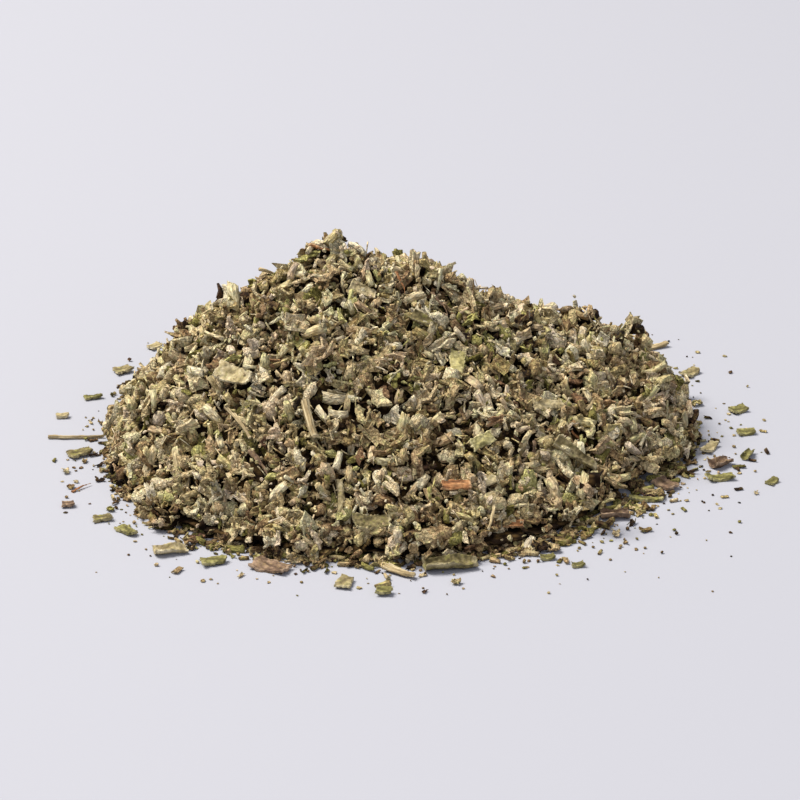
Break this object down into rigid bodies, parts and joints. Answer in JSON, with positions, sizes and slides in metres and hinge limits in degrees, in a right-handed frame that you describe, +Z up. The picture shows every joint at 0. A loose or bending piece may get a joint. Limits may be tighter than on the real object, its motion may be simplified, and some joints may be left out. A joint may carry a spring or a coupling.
{
  "type": "heap of dried cut sage",
  "caption": "Poured heap of dried, cut sage leaf with stem and bark cuttings, some lying loose round its foot.",
  "frame": {"origin": "middle of the heap's flat underside, on the surface that it rests on", "axes": "+Z up out of the surface, +X to the right as the viewer sees it, +Y away from the viewer"},
  "size_m": [0.1307, 0.1246, 0.0406],
  "materials": {
    "grey_leaf": "matt, felted grey-green dried leaf",
    "pale_leaf": "matt, pale felted underside of dried leaf",
    "dark_leaf": "matt, dark grey-green dried leaf",
    "olive_leaf": "matt, olive-green dried leaf",
    "yellow_leaf": "matt, yellow-green dried leaf",
    "straw_stem": "straw-coloured dried stem",
    "orange_bark": "orange-brown bark",
    "brown_bark": "dark brown bark"
  },
  "bodies": {
    "root": {"leaf_crumb_heap": "grey_leaf", "pale_leaf_offcut": "pale_leaf", "straw_stem_long": "straw_stem", "brown_stem_piece": "brown_bark", "twig_at_top": "orange_bark", "pale_chip_near_top": "pale_leaf", "orange_splinter_near_top": "orange_bark", "dark_leaf_roll": "dark_leaf", "brown_splinter_near_top": "brown_bark", "ribbed_leaf_chip": "yellow_leaf", "white_leaf_chip": "pale_leaf", "orange_bark_chip": "orange_bark", "orange_bark_chip_small": "orange_bark", "straw_stem_upright": "straw_stem", "pale_cap_leaf": "pale_leaf", "curved_leaf_rib": "pale_leaf", "thick_leaf_roll": "grey_leaf", "orange_splinter_right": "orange_bark", "triangular_leaf_cutting": "dark_leaf", "straw_stem_block": "straw_stem", "short_pale_roll": "pale_leaf", "yellow_green_leaf": "yellow_leaf", "tan_stem_right": "straw_stem", "dark_splinter_right": "brown_bark", "loose_straw_stick": "straw_stem", "loose_leaf_rear_left": "grey_leaf", "loose_flake_left": "olive_leaf", "loose_chip_far_left": "pale_leaf", "loose_dark_leaf_left": "dark_leaf", "loose_orange_splinter_left": "orange_bark", "loose_brown_bit_left": "brown_bark", "loose_leaf_front_left": "dark_leaf", "loose_green_leaf_front_left": "olive_leaf", "loose_pale_roll_front": "pale_leaf", "loose_green_leaf_front": "olive_leaf", "loose_brown_crumple": "brown_bark", "loose_grey_leaf_front": "grey_leaf", "loose_olive_leaf_front": "olive_leaf", "loose_straw_chip_front": "straw_stem", "loose_dark_roll_front": "dark_leaf", "loose_olive_leaf_front_right": "olive_leaf", "loose_olive_bit_right": "olive_leaf", "loose_brown_curl": "brown_bark", "loose_green_strip": "olive_leaf", "loose_brown_leaf_right": "brown_bark", "loose_pale_leaf_right": "pale_leaf", "loose_brown_curl_right": "brown_bark", "loose_green_leaf_right": "olive_leaf", "loose_green_leaf_far_right": "olive_leaf", "loose_green_chip_far_right": "olive_leaf", "loose_striped_roll": "olive_leaf", "loose_olive_bit_far_right": "olive_leaf", "loose_thin_flake_rear_right": "straw_stem", "loose_leaf_rear_right": "grey_leaf", "loose_leaf_behind": "dark_leaf", "loose_roll_behind": "grey_leaf", "loose_olive_leaf_behind": "olive_leaf", "loose_splinter_behind": "orange_bark", "loose_pale_leaf_behind": "pale_leaf", "loose_brown_bit_behind": "brown_bark"}
  },
  "joints": []
}
